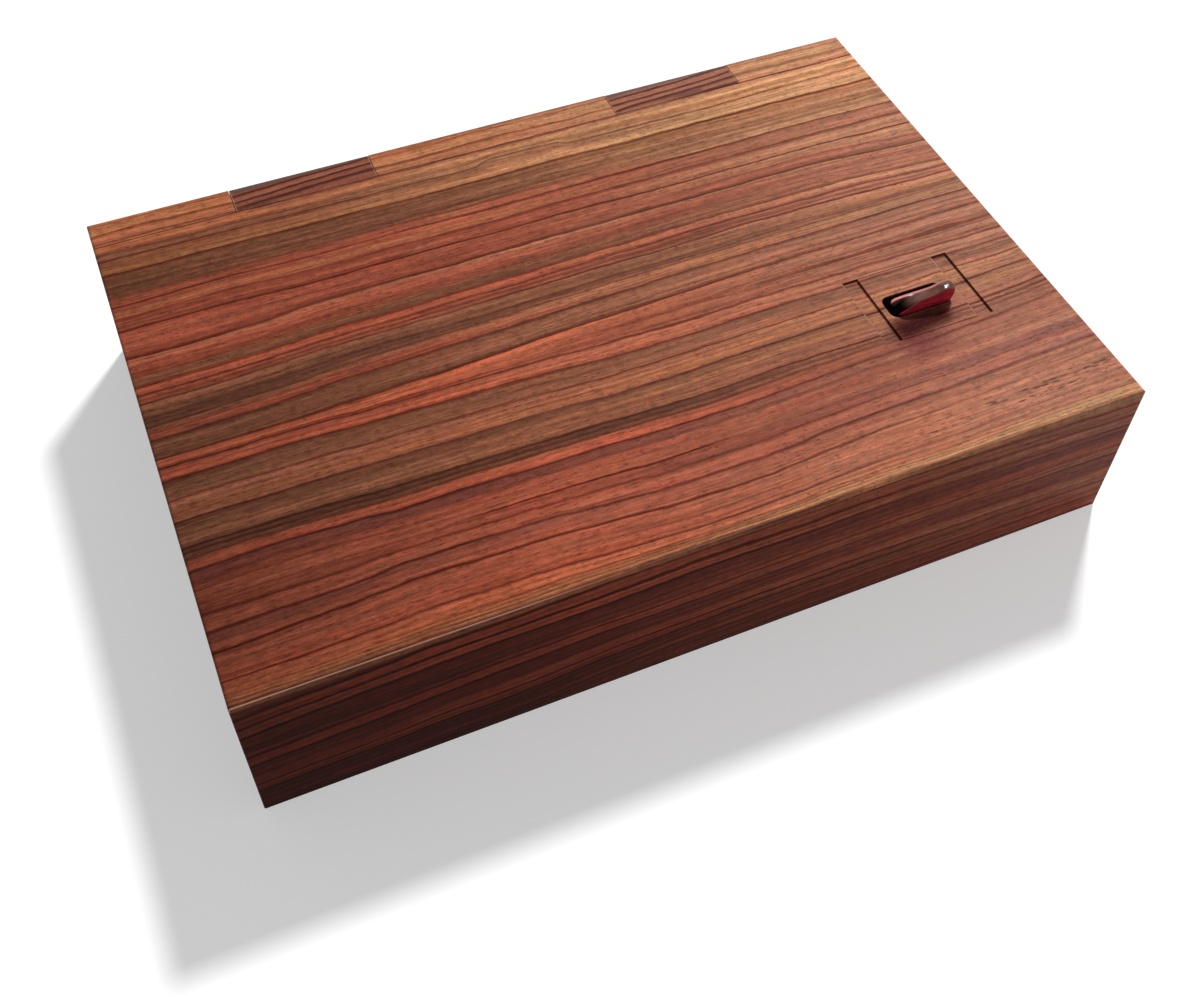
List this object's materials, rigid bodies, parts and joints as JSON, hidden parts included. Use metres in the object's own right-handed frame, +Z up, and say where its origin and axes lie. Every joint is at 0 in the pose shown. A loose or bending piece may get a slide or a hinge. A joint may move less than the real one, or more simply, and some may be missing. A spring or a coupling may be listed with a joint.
{
  "type": "wooden organizer box",
  "caption": "Low rectangular wooden box with a lid on wooden hinge tongues set in a rear rail, a sliding thumb latch in the lid and dividers inside.",
  "frame": {"origin": "centre of the box's footprint, at its underside", "axes": "+X to the right along the box's length, +Y to the hinged back, +Z up; the lid is closed at rest"},
  "size_m": [0.34, 0.233, 0.0766],
  "materials": {
    "striped_wood": "satin varnish over brown, red and tan striped grain",
    "hinge_wood": "satin varnish over dark reddish brown grain",
    "button_wood": "glossy varnish over dark crimson wood",
    "pale_wood": "plain sanded light wood",
    "hard_wood": "oiled dark hardwood",
    "brass": "plain machined brass"
  },
  "bodies": {
    "case": {"front_wall": "striped_wood", "back_wall": "striped_wood", "left_wall": "striped_wood", "right_wall": "striped_wood", "base_panel": "pale_wood", "rear_rail_left": "striped_wood", "rear_rail_middle": "striped_wood", "rear_rail_right": "striped_wood", "hinge_pin_left": "brass", "hinge_pin_right": "brass", "pin_plug_left": "hard_wood", "pin_plug_right": "hard_wood", "corner_spline_front_left": "pale_wood", "corner_spline_front_right": "pale_wood", "corner_spline_back_left": "pale_wood", "corner_spline_back_right": "pale_wood", "long_divider": "pale_wood", "cross_divider_front": "pale_wood", "cross_divider_back": "pale_wood", "strike_plate": "brass", "strike_screw_front": "brass", "strike_screw_back": "brass"},
    "lid": {"lid_panel": "striped_wood", "hinge_tongue_left": "hinge_wood", "hinge_tongue_right": "hinge_wood", "tongue_screw_left_outer": "brass", "tongue_screw_left_inner": "brass", "tongue_screw_right_outer": "brass", "tongue_screw_right_inner": "brass", "bolt_guide_front": "hard_wood", "bolt_guide_back": "hard_wood", "guide_screw_front_left": "brass", "guide_screw_front_right": "brass", "guide_screw_back_left": "brass", "guide_screw_back_right": "brass"},
    "latch": {"latch_plate": "striped_wood", "latch_button": "button_wood", "latch_bolt": "hard_wood", "latch_screw": "brass"}
  },
  "joints": [
    {"name": "lid_hinge", "type": "hinge", "parent": "case", "child": "lid", "pos_m": [0, 0.1115, 0.064], "axis": [-1, 0, 0], "range_deg": [0, 92]},
    {"name": "latch_slide", "type": "slide", "parent": "lid", "child": "latch", "axis": [1, 0, 0], "range_m": [-0.0063, 0.0063]}
  ]
}
